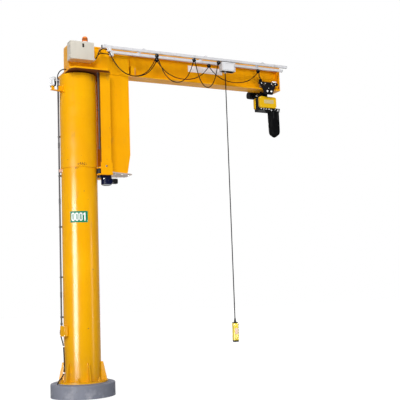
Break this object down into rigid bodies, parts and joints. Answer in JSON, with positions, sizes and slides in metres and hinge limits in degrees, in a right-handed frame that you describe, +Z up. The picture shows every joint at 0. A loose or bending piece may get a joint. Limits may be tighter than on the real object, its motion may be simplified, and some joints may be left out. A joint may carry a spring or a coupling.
{
  "type": "jib crane",
  "caption": "Pillar-mounted slewing jib crane with an I-beam boom, motor trolley and electric chain hoist, festoon cables, pendant control, floodlight and beacon, on a round plinth.",
  "frame": {"origin": "column axis at the underside of the round plinth", "axes": "+X along the jib towards its free end, +Z up along the column, +Y to the side away from the control box"},
  "size_m": [3.552, 0.82, 4.675],
  "materials": {
    "yellow_paint": "satin",
    "concrete": "matte",
    "galvanised": "satin",
    "conduit_grey": "matte",
    "cable_black": "matte",
    "lamp_grey": "satin",
    "stop_rubber": "matte",
    "grey_paint": "satin",
    "motor_blue": "satin",
    "switch_gear": "matte",
    "beacon_orange": "gloss",
    "roller_steel": "satin",
    "black_plastic": "matte",
    "white_plastic": "satin",
    "pendant_yellow": "satin",
    "black_paint": "satin",
    "hoist_yellow": "satin",
    "chain_steel": "satin",
    "bag_fabric": "matte"
  },
  "bodies": {
    "mast": {"plinth": "concrete", "base_plate": "yellow_paint", "anchor_bolts": "galvanised", "column_tube": "yellow_paint", "column_sleeve": "yellow_paint", "column_cap": "yellow_paint", "supply_conduit": "conduit_grey", "junction_box": "yellow_paint", "feed_cable": "cable_black", "floodlight_bracket": "yellow_paint", "floodlight": "lamp_grey", "slew_stop": "stop_rubber", "supply_tail": "cable_black"},
    "jib": {"slewing_plate": "yellow_paint", "jib_beam": "yellow_paint", "head_plates": "yellow_paint", "frame_box": "yellow_paint", "frame_posts": "yellow_paint", "roller_brackets": "yellow_paint", "frame_foot_plate": "grey_paint", "slew_motor": "motor_blue", "motor_conduit": "conduit_grey", "control_box": "grey_paint", "control_gear": "switch_gear", "beacon": "beacon_orange", "rail_arms": "galvanised", "control_rail": "galvanised", "hoist_rail": "galvanised", "travel_stops": "yellow_paint", "supply_leads": "cable_black", "control_loop_1": "cable_black", "hoist_loop_1": "cable_black"},
    "door": {"control_box_door": "grey_paint"},
    "roller_front": {"guide_roller_front": "roller_steel"},
    "roller_rear": {"guide_roller_rear": "roller_steel"},
    "control_carrier_1": {"control_carrier_1": "black_plastic", "control_loop_2": "cable_black"},
    "control_carrier_2": {"control_carrier_2": "black_plastic", "control_loop_3": "cable_black"},
    "control_carrier_3": {"control_carrier_3": "black_plastic"},
    "hoist_carrier_1": {"hoist_carrier_1": "black_plastic", "hoist_loop_2": "cable_black"},
    "hoist_carrier_2": {"hoist_carrier_2": "black_plastic", "hoist_loop_3": "cable_black"},
    "hoist_carrier_3": {"hoist_carrier_3": "black_plastic"},
    "pendant": {"pendant_carriage": "white_plastic", "pendant_cable": "cable_black", "pendant_station": "pendant_yellow"},
    "trolley": {"trolley_frame": "black_paint", "trolley_drive": "black_paint", "tow_lead": "cable_black", "hoist_body": "black_paint", "hoist_covers": "hoist_yellow", "chain_guide": "black_plastic", "load_chain": "chain_steel", "load_hook": "chain_steel", "chain_bag": "bag_fabric"},
    "wheels_inner": {"trolley_wheels_inner": "roller_steel"},
    "wheels_outer": {"trolley_wheels_outer": "roller_steel"}
  },
  "joints": [
    {"name": "jib_slew", "type": "hinge", "parent": "mast", "child": "jib", "pos_m": [0, 0, 4.2], "axis": [0, 0, 1], "range_deg": [-100, 100], "deforming": ["supply_tail"]},
    {"name": "control_box_door_hinge", "type": "hinge", "parent": "jib", "child": "door", "pos_m": [-0.1773, -0.24015, 4.453], "axis": [0, 0, 1], "range_deg": [-110, 0]},
    {"name": "guide_roller_front_spin", "type": "hinge", "parent": "jib", "child": "roller_front", "pos_m": [0.23081, -0.1677, 2.87], "axis": [0, 0, 1], "range_deg": [-475, 475]},
    {"name": "guide_roller_rear_spin", "type": "hinge", "parent": "jib", "child": "roller_rear", "pos_m": [0.23081, 0.1677, 2.87], "axis": [0, 0, 1], "range_deg": [-475, 475]},
    {"name": "pendant_travel", "type": "slide", "parent": "jib", "child": "pendant", "axis": [1, 0, 0], "range_m": [-1.2, 0.8]},
    {"name": "control_carrier_1_travel", "type": "slide", "parent": "jib", "child": "control_carrier_1", "axis": [1, 0, 0], "range_m": [-0.5014, 0.3346], "deforming": ["control_loop_1"]},
    {"name": "control_carrier_2_travel", "type": "slide", "parent": "control_carrier_1", "child": "control_carrier_2", "axis": [1, 0, 0], "range_m": [-0.4174, 0.2786], "deforming": ["control_loop_2"]},
    {"name": "control_carrier_3_travel", "type": "slide", "parent": "control_carrier_2", "child": "control_carrier_3", "axis": [1, 0, 0], "range_m": [-0.2842, 0.1898], "deforming": ["control_loop_3"]},
    {"name": "hoist_travel", "type": "slide", "parent": "jib", "child": "trolley", "axis": [1, 0, 0], "range_m": [-1.85, 0.03]},
    {"name": "wheels_inner_spin", "type": "hinge", "parent": "trolley", "child": "wheels_inner", "pos_m": [2.825, 0, 4.2713], "axis": [0, 1, 0], "range_deg": [-2655, 45]},
    {"name": "wheels_outer_spin", "type": "hinge", "parent": "trolley", "child": "wheels_outer", "pos_m": [2.975, 0, 4.2713], "axis": [0, 1, 0], "range_deg": [-2655, 45]},
    {"name": "hoist_carrier_1_travel", "type": "slide", "parent": "jib", "child": "hoist_carrier_1", "axis": [1, 0, 0], "range_m": [-0.5338, 0.0096], "deforming": ["hoist_loop_1"]},
    {"name": "hoist_carrier_2_travel", "type": "slide", "parent": "hoist_carrier_1", "child": "hoist_carrier_2", "axis": [1, 0, 0], "range_m": [-0.6559, 0.0116], "deforming": ["hoist_loop_2"]},
    {"name": "hoist_carrier_3_travel", "type": "slide", "parent": "hoist_carrier_2", "child": "hoist_carrier_3", "axis": [1, 0, 0], "range_m": [-0.6633, 0.0117], "deforming": ["hoist_loop_3"]}
  ],
  "couplings": [
    {"joint": "guide_roller_front_spin", "follows": "jib_slew", "ratio": 4.7},
    {"joint": "guide_roller_rear_spin", "follows": "jib_slew", "ratio": 4.7},
    {"joint": "control_carrier_1_travel", "follows": "pendant_travel", "ratio": 0.417},
    {"joint": "control_carrier_2_travel", "follows": "pendant_travel", "ratio": 0.347},
    {"joint": "control_carrier_3_travel", "follows": "pendant_travel", "ratio": 0.236},
    {"joint": "wheels_inner_spin", "follows": "hoist_travel", "rad_per_m": 25},
    {"joint": "wheels_outer_spin", "follows": "hoist_travel", "rad_per_m": 25},
    {"joint": "hoist_carrier_1_travel", "follows": "hoist_travel", "ratio": 0.288},
    {"joint": "hoist_carrier_2_travel", "follows": "hoist_travel", "ratio": 0.354},
    {"joint": "hoist_carrier_3_travel", "follows": "hoist_travel", "ratio": 0.358}
  ]
}
